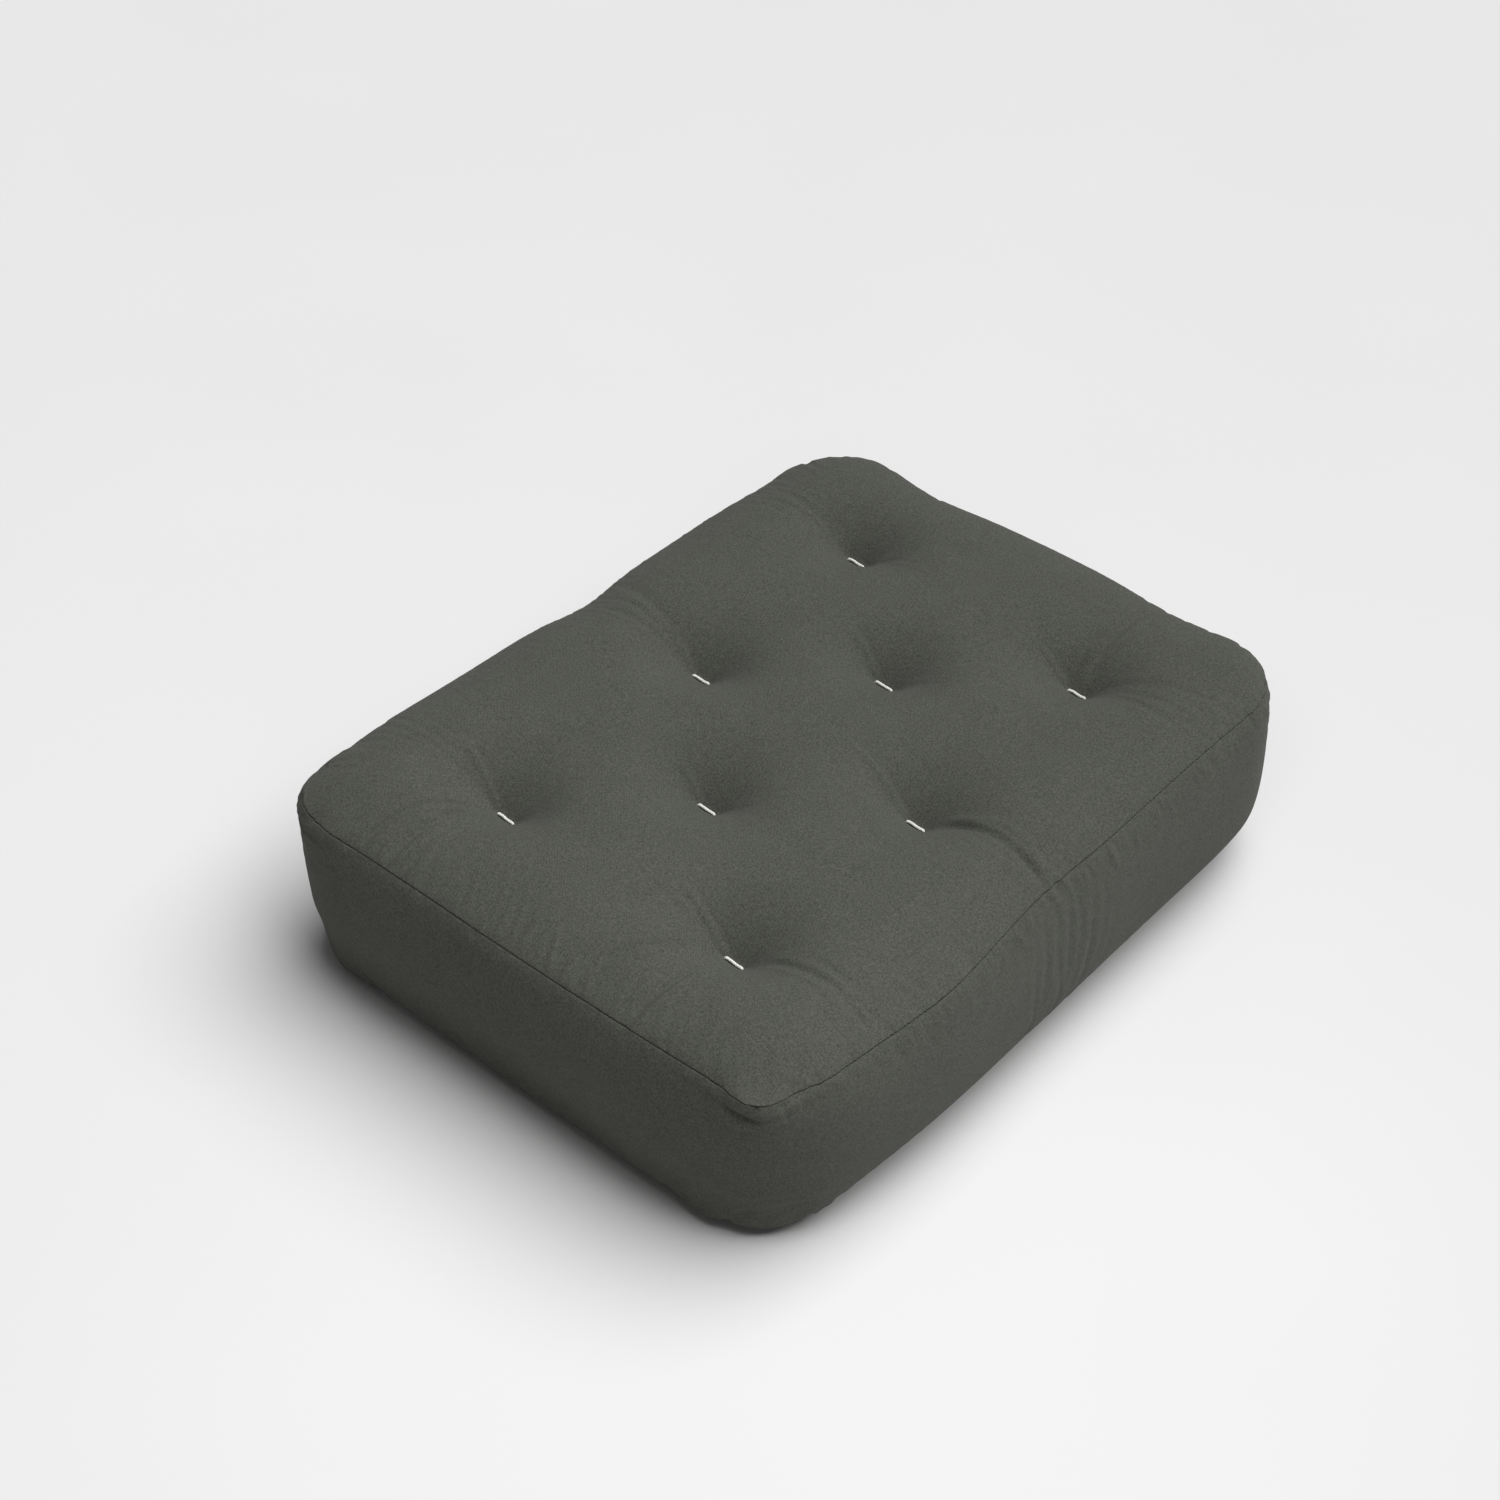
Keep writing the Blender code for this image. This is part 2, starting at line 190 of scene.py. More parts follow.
def bump(gap, width):
    return np.exp(-(gap / width) ** 2)


def smooth(value):
    value = np.clip(value, 0, 1)
    return value * value * (3 - 2 * value)


def grid_cells(half_w, half_l, cell):
    """Whole-number cell corners that cover a rectangle, row by row."""
    reach_x, reach_y = int(half_w / cell) + 1, int(half_l / cell) + 1
    return np.array([(i, j) for j in range(-reach_y, reach_y + 1) for i in range(-reach_x, reach_x + 1)])


def triangulated(points, ring_count):
    """Plan points joined up inside the closed ring that the first ring_count of them make."""
    edges = [(index, (index + 1) % ring_count) for index in range(ring_count)]
    flat, _, faces, _, _, _ = delaunay_2d_cdt([Vector(point) for point in points], edges, [], 1, 1e-9)
    return np.array([tuple(point) for point in flat]), faces


def band(first, second):
    """The quads between two closed rings of as many points."""
    return [list(face) for face in zip(first, first[1:] + first[:1], second[1:] + second[:1], second)]


def add_mesh(points, faces, more):
    """Adds another mesh's points and faces to lists of points and faces."""
    more_points, more_faces = more
    faces += [[len(points) + vertex for vertex in face] for face in more_faces]
    points += more_points


def new_object(name, data):
    made = bpy.data.objects.new(name, data)
    bpy.context.scene.collection.objects.link(made)
    return made


# ---- the filling's shape
def tuft_distance(xy):
    """Distance in plan from the nearest tuft's stitch, which runs along X."""
    off = np.abs(xy[:, None, :] - TUFT_XY[None])
    return np.hypot(np.maximum(off[..., 0] - STITCH / 2, 0), off[..., 1]).min(axis=1)


def top_height(xy):
    reach = np.clip(depth_inside(xy) / CROWN_WIDTH, 0, 1)
    free = SEAM_Z + (TOP_Z - SEAM_Z) * (1 - (1 - reach) ** CROWN_SHAPE)
    pull = np.exp(-(tuft_distance(xy) / DIMPLE_REACH) ** DIMPLE_SHAPE)
    return free + (TUFT_TOP_Z - free) * pull


def bottom_height(xy):
    reach = np.clip(depth_inside(xy) / FLOOR_MARGIN, 0, 1)
    free = BOTTOM_SEAM_Z * (1 - reach) ** 2
    pull = np.exp(-(tuft_distance(xy) / LOW_DIMPLE_REACH) ** 2)
    return free + (TUFT_BOTTOM_Z - free) * pull


def border_swell(share):
    """How far the border stands out of the seam line, share going from the top seam to the bottom one."""
    return BULGE * np.sin(math.pi * share) ** 0.8 - BOTTOM_INSET * share ** 2


# ---- cutting and sewing the cover
def cut_panel(half_w, half_l, radius, count):
    """A flat panel: a square grid inside, triangles out to an even ring of points."""
    ring = outline(half_w, half_l, radius, count)
    grid = grid_cells(half_w, half_l, CELL)
    kept = grid[depth_inside(grid * CELL, half_w, half_l, radius) > 0.55 * CELL]
    points = np.vstack([ring, kept * CELL])
    index_of = {tuple(cell): count + number for number, cell in enumerate(kept.tolist())}
    cell_of = {number: cell for cell, number in index_of.items()}
    flat, triangles = triangulated(points, count)
    faces = []
    squares = {}
    for triangle in triangles:
        cells = [cell_of.get(vertex) for vertex in triangle]
        if None in cells:
            faces.append(list(triangle))
            continue
        low_i, low_j = (min(cell[axis] for cell in cells) for axis in (0, 1))
        high_i, high_j = (max(cell[axis] for cell in cells) for axis in (0, 1))
        if high_i - low_i == 1 and high_j - low_j == 1:
            squares.setdefault((low_i, low_j), []).append(list(triangle))
        else:
            faces.append(list(triangle))
    for (i, j), halves in squares.items():
        if len(halves) == 2:
            faces.append([index_of[cell] for cell in ((i, j), (i + 1, j), (i + 1, j + 1), (i, j + 1))])
        else:
            faces += halves
    return flat, faces


def settle_grid(plan, ring_count):
    """Slides the grid a little round each tuft, so that its stitch ends fall on grid points."""
    moved = plan.copy()
    for x, y in TUFT_XY * CUT_EXTRA:
        start = x - STITCH / 2
        shift = np.array([start - round(start / CELL) * CELL, y - round(y / CELL) * CELL])
        weight = np.exp(-((plan - (x, y)) ** 2).sum(axis=1) / 0.025 ** 2)
        weight[:ring_count] = 0
        moved += weight[:, None] * shift
    return moved


# where the seam line leaves its rounded rectangle: site round it, reach, how far out, how far up, in metres
SEAM_SHIFTS = (
    (FRONT_CORNER, 0.024, 0.0150, -0.0060),
    (FRONT_CORNER, 0.070, -0.0050, 0.0020),
    (place_of(HALF_W, -0.160), 0.080, 0.0080, -0.0040),
    (LEFT_CORNER, 0.034, 0.0070, 0.0000),
    (RIGHT_CORNER, 0.045, 0.0010, 0.0110),
    (BACK_CORNER - 0.060, 0.050, 0.0050, 0.0050),
    (BACK_CORNER + 0.060, 0.050, -0.0040, -0.0020),
    (place_of(-HALF_W, 0.013), 0.045, -0.0045, -0.0040),
    (place_of(-HALF_W, -0.220), 0.060, 0.0030, 0.0020),
    (place_of(-HALF_W, 0.120), 0.120, -0.0015, -0.0020),
    (place_of(HALF_W, -0.011), 0.045, -0.0025, -0.0025),
    (place_of(HALF_W, 0.200), 0.120, -0.0020, 0.0060),
    (place_of(0.05, HALF_L), 0.200, 0.0060, 0.0060),
    (place_of(0.128, HALF_L), 0.040, -0.0020, -0.0020),
    (place_of(-0.132, HALF_L), 0.040, -0.0015, -0.0015),
)
# how much further the lower border stands out: site, reach, amount
LOW_BULGES = (
    (place_of(HALF_W, 0.02), 0.30, 0.0140),
    (place_of(HALF_W, -0.20), 0.11, 0.0060),
    (place_of(HALF_W, 0.26), 0.11, 0.0100),
    (FRONT_CORNER, 0.070, -0.0120),
    (LEFT_CORNER, 0.070, -0.0080),
    (FRONT, 0.22, -0.0070),
)


def seam_shift(place):
    """How far the seam stands out of and above its rounded rectangle, at places round it."""
    out = np.zeros(len(place))
    up = np.zeros(len(place))
    for site, reach, aside, lift in SEAM_SHIFTS:
        near = bump(round_gap(place, site), reach)
        out += aside * near
        up += lift * near
    return out, up


def low_bulge(place):
    return sum(amount * bump(round_gap(place, site), reach) for site, reach, amount in LOW_BULGES)


def sew_cover():
    """The closed cover as it is cut and sewn, and where the filling would hold each of its points."""
    half_w, half_l = HALF_W * CUT_EXTRA, HALF_L * CUT_EXTRA
    around = 4 * (half_w + half_l - 2 * CORNER_R) + 2 * math.pi * CORNER_R
    count = round(around / CELL)
    plan, panel_faces = cut_panel(half_w, half_l, CORNER_R, count)
    plan = settle_grid(plan, count)
    final = plan / CUT_EXTRA
    size = len(plan)

    place, outwards = round_place(final)
    out, up = seam_shift(place)
    near_seam = smooth(1 - depth_inside(final) / 0.075)
    cut_plan = plan + outwards * (out * near_seam)[:, None]
    cut = [np.column_stack([cut_plan, np.full(size, BORDER_CUT)])]
    top_plan = final + outwards * (out * near_seam)[:, None]
    held = [np.column_stack([top_plan, top_height(final) + up * near_seam])]
    ring, ring_final = plan[:count], final[:count]
    outward = ring_outward(ring_final)
    out, up = seam_shift(place[:count])
    low = low_bulge(place[:count])
    levels = [list(range(count))]
    for row in range(1, BORDER_ROWS):
        share = row / BORDER_ROWS
        levels.append(list(range(size + (row - 1) * count, size + row * count)))
        cut_ring = ring + outward * (out * (1 - share) ** 1.5)[:, None]
        cut.append(np.column_stack([cut_ring, np.full(count, BORDER_CUT * (1 - share))]))
        swell = border_swell(share) + out * (1 - share) ** 1.5 + low * math.sin(math.pi * share ** 2.2)
        height = SEAM_Z + (BOTTOM_SEAM_Z - SEAM_Z) * share + up * (1 - share)
        held.append(np.column_stack([ring_final + outward * swell[:, None], height]))
    start = size + (BORDER_ROWS - 1) * count
    levels.append(list(range(start, start + count)))
    shrink = np.array([(HALF_W - BOTTOM_INSET) / HALF_W, (HALF_L - BOTTOM_INSET) / HALF_L])
    near_rim = smooth(1 - depth_inside(final) / 0.09)[:, None]
    low_plan = final * (1 + (shrink - 1) * near_rim)
    cut.append(np.column_stack([plan, np.zeros(size)]))
    held.append(np.column_stack([low_plan, bottom_height(final)]))

    regions = {
        "top": [list(face) for face in panel_faces],
        "bottom": [[start + vertex for vertex in reversed(face)] for face in panel_faces],
        "border": [],
    }
    for upper, lower in zip(levels, levels[1:]):
        regions["border"] += [[b, a, d, c] for a, b, c, d in band(upper, lower)]
    return np.vstack(cut), np.vstack(held), regions, levels, size, start


def stitch_points(cut, first, size):
    """The grid points under each tuft's stitch."""
    near = np.zeros(size, bool)
    for x, y in TUFT_XY * CUT_EXTRA:
        off = np.abs(cut[first:first + size, :2] - (x, y))
        near |= (off[:, 0] < STITCH / 2 + 0.0005) & (off[:, 1] < CELL * 0.55)
    return first + np.nonzero(near)[0]


def simulate_cover(cut, held, regions, size, start):
    """Lets the cover settle on its filling: soft goals stand for the filling, and pins for the twine."""
    mesh = bpy.data.meshes.new("cover_cloth")
    mesh.from_pydata(cut.tolist(), [], [face for faces in regions.values() for face in faces])
    cover = new_object("cover_cloth", mesh)

    goal = np.full(len(cut), GOAL)
    goal[:size] = TOP_GOAL
    goal[stitch_points(cut, 0, size)] = 1.0
    on_floor = depth_inside(cut[start:start + size, :2] / CUT_EXTRA) > FLOOR_MARGIN
    goal[start + np.nonzero(on_floor)[0]] = 1.0
    cover.shape_key_add(name="Basis")
    filled = cover.shape_key_add(name="filled")
    filled.data.foreach_set("co", held.astype(np.float32).ravel())
    filled.value = 0.0
    filled.keyframe_insert("value", frame=1)
    filled.value = 1.0
    filled.keyframe_insert("value", frame=FILLED_FRAME)
    pins = cover.vertex_groups.new(name="pins")
    for weight in np.unique(goal):
        pins.add([int(index) for index in np.nonzero(goal == weight)[0]], float(weight), "ADD")

    modifier = cover.modifiers.new("cloth", "CLOTH")
    cloth = modifier.settings
    cloth.quality = 4
    cloth.mass = 0.1
    cloth.tension_stiffness = 60
    cloth.compression_stiffness = 60
    cloth.shear_stiffness = 20
    cloth.bending_stiffness = 0.3
    cloth.vertex_group_mass = "pins"
    cloth.pin_stiffness = 1.0
    cloth.use_pressure = True
    cloth.uniform_pressure_force = 0.3
    cloth.effector_weights.gravity = 0.0
    modifier.collision_settings.use_collision = False
    modifier.collision_settings.use_self_collision = False
    modifier.point_cache.frame_end = FRAMES
    scene = bpy.context.scene
    scene.frame_start = 1
    scene.frame_end = FRAMES
    for step in range(1, FRAMES + 1):
        scene.frame_set(step)
    graph = bpy.context.evaluated_depsgraph_get()
    settled = cover.evaluated_get(graph).to_mesh()
    places = np.zeros(len(settled.vertices) * 3, np.float32)
    settled.vertices.foreach_get("co", places)
    scene.frame_set(1)
    bpy.data.objects.remove(cover, do_unlink=True)
    return places.reshape(-1, 3).astype(float)


# ---- creases
# creases that run out from a tuft: its number, heading and turn in degrees, where the crease starts and
# ends along that arc, and its height (below 0 a furrow), half width and lean
CREASES = (
    (1, 158, 10, 0.006, 0.085, 0.0010, 0.0026, -0.5),
    (1, 232, 34, 0.020, 0.135, -0.0024, 0.0032, 1.0),
    (1, 254, 16, 0.020, 0.118, -0.0022, 0.0032, 1.0),
    (2, 165, 4, 0.006, 0.075, 0.0013, 0.0026, -0.5),
    (2, 15, -34, 0.014, 0.150, -0.0011, 0.0034, 0.6),
    (2, 30, -45, 0.060, 0.120, -0.0008, 0.0034, 0.5),
    (2, 228, 25, 0.030, 0.125, -0.0020, 0.0032, 1.0),
    (2, 272, -10, 0.045, 0.125, -0.0024, 0.0032, 1.0),
    (3, 160, 5, 0.006, 0.045, 0.0010, 0.0025, -0.5),
    (3, 10, 0, 0.008, 0.050, -0.0006, 0.0040, 0.3),
    (4, 165, -2, 0.006, 0.040, 0.0010, 0.0025, -0.5),
    (4, 166, 0, 0.035, 0.140, -0.0012, 0.0050, 0.6),
    (5, 168, 4, 0.006, 0.095, 0.0013, 0.0026, -0.5),
    (5, 13, -26, 0.014, 0.142, -0.0022, 0.0042, 1.0),
    (5, 24, -34, 0.050, 0.115, -0.0012, 0.0032, 0.8),
    (6, 159, 5, 0.006, 0.058, 0.0011, 0.0025, -0.5),
    (6, 8, 0, 0.008, 0.045, -0.0006, 0.0040, 0.3),
    (7, 5, 0, 0.008, 0.050, -0.0006, 0.0036, 0.4),
    (8, 170, 4, 0.006, 0.055, 0.0009, 0.0025, -0.5),
    (8, 100, -16, 0.012, 0.118, -0.0024, 0.0036, 1.0),
    (8, 88, -10, 0.030, 0.100, -0.0012, 0.0030, 0.8),
    (8, 25, -12, 0.010, 0.110, -0.0008, 0.0050, 0.4),
)
ARC_STEPS = 12
FOLD_HEAD = 0.25              # shares of its length over which a crease fades in and out
FOLD_TAIL = 0.30


def arc_points(tuft, heading, turn, start, end):
    """Points along a curved crease from a tuft, from start to end."""
    points = [TUFT_XY[tuft - 1]]
    step = end / ARC_STEPS
    for index in range(ARC_STEPS):
        angle = math.radians(heading + turn * (index + 0.5) / ARC_STEPS)
        points.append(points[-1] + np.array([math.cos(angle), math.sin(angle)]) * step)
    return points[int(start / step):]


def along_path(xy, points):
    """Signed distance from a line through points, and the share of the way along it."""
    corners = np.array(points, float)
    lengths = np.linalg.norm(np.diff(corners, axis=0), axis=1)
    starts = np.concatenate([[0], np.cumsum(lengths)])
    best = np.full(len(xy), np.inf)
    signed = np.zeros(len(xy))
    share = np.zeros(len(xy))
    for index, (a, b) in enumerate(zip(corners, corners[1:])):
        d = (b - a) / lengths[index]
        rel = xy - a
        t = np.clip(rel @ d, 0, lengths[index])
        off = rel - t[:, None] * d
        distance = np.linalg.norm(off, axis=1)
        closer = distance < best
        best[closer] = distance[closer]
        cross = d[0] * rel[:, 1] - d[1] * rel[:, 0]
        signed[closer] = (np.sign(cross) * distance)[closer]
        share[closer] = ((starts[index] + t) / starts[-1])[closer]
    return signed, share


def fold(xy, points, height, width, lean):
    """A pressed crease: a ridge (or with a height below 0 a furrow) along a line, fading at both ends."""
    signed, share = along_path(xy, points)
    fade = smooth(share / FOLD_HEAD) * smooth((1 - share) / FOLD_TAIL)
    ridge = np.exp(-(signed / width) ** 2)
    shoulder = -(signed / width) * np.exp(0.5 - 0.5 * (signed / width) ** 2)
    return height * fade * (ridge + lean * shoulder)


def top_creases(xy):
    rise = np.zeros(len(xy))
    for tuft, heading, turn, start, end, height, width, lean in CREASES:
        rise += fold(xy, arc_points(tuft, heading, turn, start, end), height, width, lean)
    return rise


WRINKLE_SLANT = 0.30          # the wrinkles lean away from the front corner


def seam_wrinkles(place, depth, seed, spacing, height, length, strong):
    """Short wrinkles square to the seam. depth is the distance from it; strong gives a weight round it."""
    draw = np.random.default_rng(seed)
    rise = np.zeros(len(place))
    where = 0.0
    close = depth < length * 2.4
    while where < RING_LENGTH:
        amount = height * draw.uniform(0.2, 1.0) * strong(where)
        reach = length * draw.uniform(0.5, 1.5)
        width = spacing * draw.uniform(0.22, 0.36)
        slant = draw.uniform(-0.25, 0.25) + WRINKLE_SLANT * math.tanh(round_gap(where, FRONT_CORNER) / 0.1)
        start = draw.uniform(0.0, 0.15) * reach
        where += spacing * draw.uniform(0.6, 1.5)
        if amount < height * 0.05:
            continue
        off = round_gap(place - slant * depth, where)
        chosen = close & (np.abs(off) < 3 * width)
        fade_in = smooth((depth[chosen] - start) / (0.18 * reach))
        fade_out = smooth((reach - depth[chosen]) / (0.7 * reach))
        rise[chosen] += amount * bump(off[chosen], width) * fade_in * fade_out
    return rise


# ---- from settled cloth to finished pieces
CLOTH = 0.0010                # thickness of the cotton cloth
ALLOWANCE = 0.008             # seam allowance, turned inwards
TURN_ASIDE, TURN_DEEP = 0.0013, 0.0016        # where the sheet's inside turns down into the allowance
TAIL_ASIDE = 0.0011
# the outside's way into the seam: how far to its own side, how deep
EDGE_ROLL = ((0.0011, 0.0), (0.0005, 0.0003), (0.00015, 0.0010), (0.0001, 0.0035), (0.0001, ALLOWANCE))


def subdivided(points, regions):
    """The cover with every face cut in four and rounded, as points, and its faces by region."""
    names = list(regions)
    mesh = bpy.data.meshes.new("cover_fine")
    mesh.from_pydata(points.tolist(), [], [face for name in names for face in regions[name]])
    kinds = np.concatenate([np.full(len(regions[name]), number) for number, name in enumerate(names)])
    mesh.polygons.foreach_set("material_index", kinds.astype(np.int32))
    for name in names:
        mesh.materials.append(None)
    cover = new_object("cover_fine", mesh)
    cover.modifiers.new("rounding", "SUBSURF").levels = 1
    graph = bpy.context.evaluated_depsgraph_get()
    fine = bpy.data.meshes.new_from_object(cover.evaluated_get(graph))
    places = np.zeros(len(fine.vertices) * 3, np.float32)
    fine.vertices.foreach_get("co", places)
    fine_regions = {name: [] for name in names}
    for face in fine.polygons:
        fine_regions[names[face.material_index]].append(list(face.vertices))
    bpy.data.objects.remove(cover, do_unlink=True)
    return places.reshape(-1, 3).astype(float), fine_regions


def normals_of(points, faces):
    """The normal at each point of a mesh of triangles and quads."""
    normals = np.zeros_like(points)
    for count in (3, 4):
        chosen = np.array([face for face in faces if len(face) == count])
        if not len(chosen):
            continue
        first, second, third, last = (points[chosen[:, corner]] for corner in (0, 1, 2, -1))
        cross = np.cross(third - first, last - second)
        for corner in range(count):
            np.add.at(normals, chosen[:, corner], cross)
    return normals / np.maximum(np.linalg.norm(normals, axis=1), 1e-12)[:, None]


def edge_loops(faces, first):
    """The open edges of some faces, as one ordered loop of points from each of the points in first."""
    after = {}
    seen = set()
    for face in faces:
        for a, b in zip(face, face[1:] + face[:1]):
            seen.add((a, b))
    for a, b in seen:
        if (b, a) not in seen:
            after[b] = a
    loops = []
    for point in first:
        loop = [point]
        while after[loop[-1]] != point:
            loop.append(after[loop[-1]])
        loops.append(loop)
    return loops


def finish_cloth(name, fine, faces, coarse_faces, rims, normals):
    """A closed sheet from one region: fine outside, coarse inside, its edges turned into the seams."""
    used = points_of(faces)
    new_index = {int(old): number for number, old in enumerate(used)}
    points = fine[used].copy()
    out_faces = [[new_index[v] for v in face] for face in faces]
    coarse_used = points_of(coarse_faces)
    inner_index = {int(old): len(points) + number for number, old in enumerate(coarse_used)}
    own = normals_of(fine, faces)
    inner = fine[coarse_used] - own[coarse_used] * CLOTH
    neighbours = {}
    for face in faces:
        for v in face:
            neighbours.setdefault(v, []).extend(face)
    added = []
    extra_faces = []
    base = len(points) + len(coarse_used)
    for loop in edge_loops(faces, rims):
        ring = fine[loop]
        out = normals[loop]
        along = unit(np.roll(ring, -1, axis=0) - np.roll(ring, 1, axis=0))
        inwards = np.array([fine[neighbours[v]].mean(axis=0) for v in loop]) - ring
        inwards = unit(inwards - along * (inwards * along).sum(axis=1)[:, None])
        across = unit(inwards - out * (inwards * out).sum(axis=1)[:, None])
        size = len(loop)
        levels = []
        for step, (aside, deep) in enumerate(EDGE_ROLL):
            if step == 0:
                points[[new_index[v] for v in loop]] = ring + inwards * aside
                levels.append([new_index[v] for v in loop])
                continue
            levels.append(list(range(base + len(added), base + len(added) + size)))
            added += list(ring + across * aside - out * deep)
        coarse_loop = loop[::2]
        for offset, v in enumerate(coarse_loop):
            place = 2 * offset
            turned_in = across[place] * TURN_ASIDE - out[place] * TURN_DEEP
            inner[inner_index[v] - len(points)] = ring[place] + turned_in
        tail = list(range(base + len(added), base + len(added) + size // 2))
        added += list((ring + across * TAIL_ASIDE - out * ALLOWANCE)[::2])
        for upper, lower in zip(levels, levels[1:]):
            extra_faces += band(upper, lower)
        last = levels[-1]
        for k in range(size // 2):
            after = (k + 1) % (size // 2)
            extra_faces.append([last[2 * k], last[2 * k + 1], tail[k]])
            extra_faces.append([last[2 * k + 1], last[(2 * k + 2) % size], tail[after], tail[k]])
            turned = [inner_index[coarse_loop[place]] for place in (after, k)]
            extra_faces.append([tail[k], tail[after], *turned])
    in_faces = [[inner_index[v] for v in reversed(face)] for face in coarse_faces]
    points = np.vstack([points, inner, np.array(added)])
    return make_mesh(name, points, out_faces + in_faces + extra_faces)


def make_mesh(name, points, faces):
    """A smooth-shaded mesh object whose faces all look outwards."""
    mesh = bpy.data.meshes.new(name)
    mesh.from_pydata([tuple(point) for point in points], [], faces)
    shape = bmesh.new()
    shape.from_mesh(mesh)
    bmesh.ops.recalc_face_normals(shape, faces=shape.faces)
    shape.to_mesh(mesh)
    shape.free()
    mesh.shade_smooth()
    return new_object(name, mesh)


def put_on(piece, material, slot, *nodes):
    piece.data.materials.append(material)
    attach(piece, "root")
    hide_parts(*nodes)


# ---- pressed-in detail
def top_gather_weight(place):
    """How strong the top panel's seam wrinkles are: most along the front and at its two corners."""
    front = max(bump(round_gap(place, FRONT), 0.29), bump(round_gap(place, LEFT_CORNER), 0.09))
    return max(0.15, front, 0.8 * bump(round_gap(place, FRONT_CORNER), 0.07))


def border_gather_weight(place):
    """How strong the border's seam wrinkles are: most on the front and right, least on the back and left."""
    front = bump(round_gap(place, FRONT), 0.32)
    right = bump(round_gap(place, RIGHT), 0.36)
    return max(0.4, front, right)


def points_of(faces):
    """The points that some faces use, in order."""
    return np.unique(np.concatenate([np.ravel(face) for face in faces]))


def detail(points, faces_by_region):
    """How far each point of the fine cover moves out for creases and wrinkles."""
    rise = np.zeros(len(points))
    top = points_of(faces_by_region["top"])
    xy = points[top, :2]
    place, _ = round_place(xy)
    depth = depth_inside(xy) + seam_shift(place)[0]
    rise[top] += top_creases(xy) * smooth(depth / 0.0045)
    rise[top] += seam_wrinkles(place, depth, 11, 0.0078, 0.0017, 0.045, top_gather_weight)

    border = points_of(faces_by_region["border"])
    place, _ = round_place(points[border, :2])
    drop = SEAM_Z - points[border, 2]
    lift = points[border, 2] - BOTTOM_SEAM_Z
    rise[border] += seam_wrinkles(place, drop, 12, 0.0080, 0.0018, 0.024, border_gather_weight)
    rise[border] += seam_wrinkles(place, lift, 13, 0.0110, 0.0003, 0.016, lambda place: 0.7)
    rise[border] += corner_folds(place, drop)
    return rise


CORNER_WRINKLES = (           # drop below the seam, half width round the corner, height
    (0.0200, 0.050, -0.0008),
    (0.0275, 0.040, -0.0006),
    (0.0370, 0.045, -0.0005),
    (0.0480, 0.030, -0.0003),
)
CORNER_STRENGTHS = ((FRONT_CORNER, 1.0), (LEFT_CORNER, 1.1), (RIGHT_CORNER, 0.6), (BACK_CORNER, 0.5))


def corner_folds(place, drop):
    """Under a corner's seam: a furrow with a lip over it, two small notches, and fading level wrinkles."""
    rise = np.zeros(len(place))
    for site, scale in CORNER_STRENGTHS:
        gap = round_gap(place, site)
        near = bump(gap, 0.050)
        line = 0.0105 + 0.0035 * bump(gap - 0.010, 0.030)
        rise -= 0.0016 * scale * near * bump(drop - line, 0.0026)
        rise += 0.0014 * scale * near * bump(drop - line + 0.0060, 0.0030)
        rise -= 0.0020 * scale * bump(gap + 0.15 * drop, 0.0034) * smooth(1 - drop / 0.012)
        side_notch = bump(gap - 0.018 - 0.35 * drop, 0.0032)
        rise -= 0.0012 * scale * side_notch * smooth(drop / 0.004) * smooth(1 - drop / 0.030)
        for number, (level, wide, amount) in enumerate(CORNER_WRINKLES):
            sag = level + 0.007 * bump(gap, 0.045) + 0.10 * gap * (1 if number % 2 else -1)
            rise += amount * scale * bump(gap, wide) * bump(drop - sag, 0.0030)
    return rise


# ---- twine
TWINE_RADIUS = 0.0013
STRAND_RADIUS = TWINE_RADIUS * 0.60
STRAND_COUNT = 3
STRAND_TURN = 0.0050          # length of one full turn of the strands
ANY_WAY = (0.31, 0.83, 0.46)  # a direction that no path runs along


def square_to(path):
    """At each point of a path, two directions square to it and to each other, without twist."""
    along = unit(np.gradient(path, axis=0))
    side = np.cross(along[0], ANY_WAY)
    sides = []
    for direction in along:
        side = side - direction * side.dot(direction)
        side = side / np.linalg.norm(side)
        sides.append(side)
    sides = np.array(sides)
    return sides, np.cross(along, sides)


def tube(path, radius, count):
    """Rings of count points round a path, closed at both ends."""
    points = []
    for centre, side, other in zip(path, *square_to(path)):
        for k in range(count):
            angle = 2 * math.pi * k / count
            points.append(centre + (side * math.cos(angle) + other * math.sin(angle)) * radius)
    rings = [list(range(start, start + count)) for start in range(0, len(points), count)]
    faces = [face for first, second in zip(rings, rings[1:]) for face in band(first, second)]
    return points, faces + [rings[0][::-1], rings[-1]]


def smooth_path(corners, step=0.0009):
    """A rounded path through corner points, with a point about every step."""
    corners = np.array(corners, float)
    padded = np.vstack([2 * corners[0] - corners[1], corners, 2 * corners[-1] - corners[-2]])
    dense = []
    for index in range(1, len(padded) - 2):
        before, a, b, after = padded[index - 1:index + 3]
        count = max(2, int(np.linalg.norm(b - a) / step))
        for t in np.linspace(0, 1, count, endpoint=False):
            dense.append(0.5 * (2 * a + (b - before) * t + (2 * before - 5 * a + 4 * b - after) * t ** 2
                                + (3 * a - before - 3 * b + after) * t ** 3))
    dense.append(corners[-1])
    return np.array(dense)


